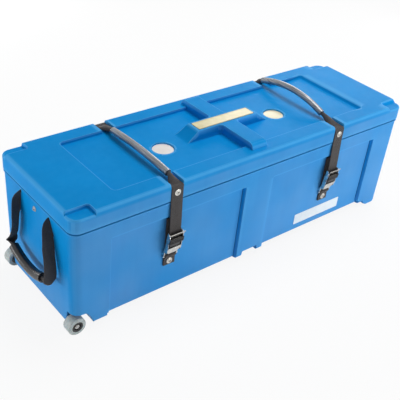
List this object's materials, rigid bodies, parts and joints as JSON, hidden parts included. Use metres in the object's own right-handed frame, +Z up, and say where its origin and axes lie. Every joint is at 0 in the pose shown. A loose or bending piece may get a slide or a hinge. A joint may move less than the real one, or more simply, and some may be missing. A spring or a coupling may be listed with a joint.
{
  "type": "drum hardware case",
  "caption": "Long moulded plastic case for drum hardware, with lift-up lid, webbing straps with carrying tubes and cam buckles, end handles and wheels at one end.",
  "frame": {"origin": "on the floor, at the middle of the whole object's footprint", "axes": "+X along the case towards the end without wheels, +Y towards the hinge side, +Z up"},
  "size_m": [1.3752, 0.4242, 0.439],
  "materials": {
    "shell": "satin moulded polyethylene",
    "webbing": "woven polypropylene webbing",
    "tube": "glossy vinyl hose",
    "grip": "black plastic",
    "steel": "nickel-plated steel",
    "spring_steel": "dark steel",
    "tyre": "light grey urethane",
    "hub": "black nylon",
    "plate": "plain printed plate",
    "disc": "plain plastic disc",
    "label": "plain white label"
  },
  "bodies": {
    "case": {"case_body": "shell", "front_label": "label", "anchor_webbing_left": "webbing", "strap_hinge_left": "webbing", "rivet_hinge_left": "steel", "rivet_anchor_left": "steel", "rivet_end_left": "steel", "anchor_webbing_right": "webbing", "strap_hinge_right": "webbing", "rivet_hinge_right": "steel", "rivet_anchor_right": "steel", "rivet_end_right": "steel", "axle_front": "steel", "axle_nut_front": "steel", "rivet_axle_front_outer": "steel", "rivet_axle_front_inner": "steel", "axle_back": "steel", "axle_nut_back": "steel", "rivet_axle_back_outer": "steel", "rivet_axle_back_inner": "steel"},
    "lid_body": {"lid": "shell", "nameplate": "plate", "disc_left": "disc", "disc_right": "disc", "strap_top_left": "webbing", "rivet_lid_front_left": "steel", "rivet_lid_back_left": "steel", "strap_top_right": "webbing", "rivet_lid_front_right": "steel", "rivet_lid_back_right": "steel"},
    "carry_handle_left": {"carry_tube_left": "tube"},
    "front_strap_left": {"strap_front_left": "webbing"},
    "buckle_left": {"buckle_frame_left": "steel", "buckle_pin_left": "steel", "buckle_spring_left": "spring_steel"},
    "cam_left": {"cam_lever_left": "grip"},
    "end_handle_left": {"end_grip_left": "grip", "end_webbing_left": "webbing"},
    "carry_handle_right": {"carry_tube_right": "tube"},
    "front_strap_right": {"strap_front_right": "webbing"},
    "buckle_right": {"buckle_frame_right": "steel", "buckle_pin_right": "steel", "buckle_spring_right": "spring_steel"},
    "cam_right": {"cam_lever_right": "grip"},
    "end_handle_right": {"end_grip_right": "grip", "end_webbing_right": "webbing"},
    "wheel_front": {"wheel_tyre_front": "tyre", "wheel_hub_front": "hub", "wheel_bearing_front": "spring_steel"},
    "wheel_back": {"wheel_tyre_back": "tyre", "wheel_hub_back": "hub", "wheel_bearing_back": "spring_steel"}
  },
  "joints": [
    {"name": "lid_hinge", "type": "hinge", "parent": "case", "child": "lid_body", "pos_m": [0, 0.20638, 0.34], "axis": [-1, 0, 0], "range_deg": [0, 110]},
    {"name": "carry_lift_left", "type": "slide", "parent": "lid_body", "child": "carry_handle_left", "axis": [0, 0, 1], "range_m": [0, 0.025], "deforming": ["strap_top_left"]},
    {"name": "front_strap_swing_left", "type": "hinge", "parent": "lid_body", "child": "front_strap_left", "pos_m": [-0.322, -0.19262, 0.3517], "axis": [-1, 0, 0], "range_deg": [0, 120], "deforming": ["strap_front_left"]},
    {"name": "buckle_swing_left", "type": "hinge", "parent": "case", "child": "buckle_left", "pos_m": [-0.322, -0.18111, 0.146], "axis": [1, 0, 0], "range_deg": [0, 120]},
    {"name": "cam_lever_left", "type": "hinge", "parent": "buckle_left", "child": "cam_left", "pos_m": [-0.322, -0.19922, 0.20185], "axis": [1, 0, 0], "range_deg": [0, 55], "stiffness_Nm_per_rad": 0.05, "springref_deg": -17.19},
    {"name": "end_handle_swing_left", "type": "hinge", "parent": "case", "child": "end_handle_left", "pos_m": [-0.644, 0.00688, 0.303], "axis": [0, 1, 0], "range_deg": [0, 95], "deforming": ["end_webbing_left"]},
    {"name": "carry_lift_right", "type": "slide", "parent": "lid_body", "child": "carry_handle_right", "axis": [0, 0, 1], "range_m": [0, 0.015], "deforming": ["strap_top_right"]},
    {"name": "front_strap_swing_right", "type": "hinge", "parent": "lid_body", "child": "front_strap_right", "pos_m": [0.322, -0.19262, 0.3517], "axis": [-1, 0, 0], "range_deg": [0, 120], "deforming": ["strap_front_right"]},
    {"name": "buckle_swing_right", "type": "hinge", "parent": "case", "child": "buckle_right", "pos_m": [0.322, -0.18111, 0.146], "axis": [1, 0, 0], "range_deg": [0, 120]},
    {"name": "cam_lever_right", "type": "hinge", "parent": "buckle_right", "child": "cam_right", "pos_m": [0.322, -0.19922, 0.20185], "axis": [1, 0, 0], "range_deg": [0, 55], "stiffness_Nm_per_rad": 0.05, "springref_deg": -17.19},
    {"name": "end_handle_swing_right", "type": "hinge", "parent": "case", "child": "end_handle_right", "pos_m": [0.644, 0.00688, 0.303], "axis": [0, -1, 0], "range_deg": [0, 95], "deforming": ["end_webbing_right"]},
    {"name": "wheel_spin_front", "type": "hinge", "parent": "case", "child": "wheel_front", "pos_m": [-0.628, -0.16962, 0.027], "axis": [0, 1, 0], "continuous": true},
    {"name": "wheel_spin_back", "type": "hinge", "parent": "case", "child": "wheel_back", "pos_m": [-0.628, 0.18338, 0.027], "axis": [0, 1, 0], "continuous": true}
  ]
}
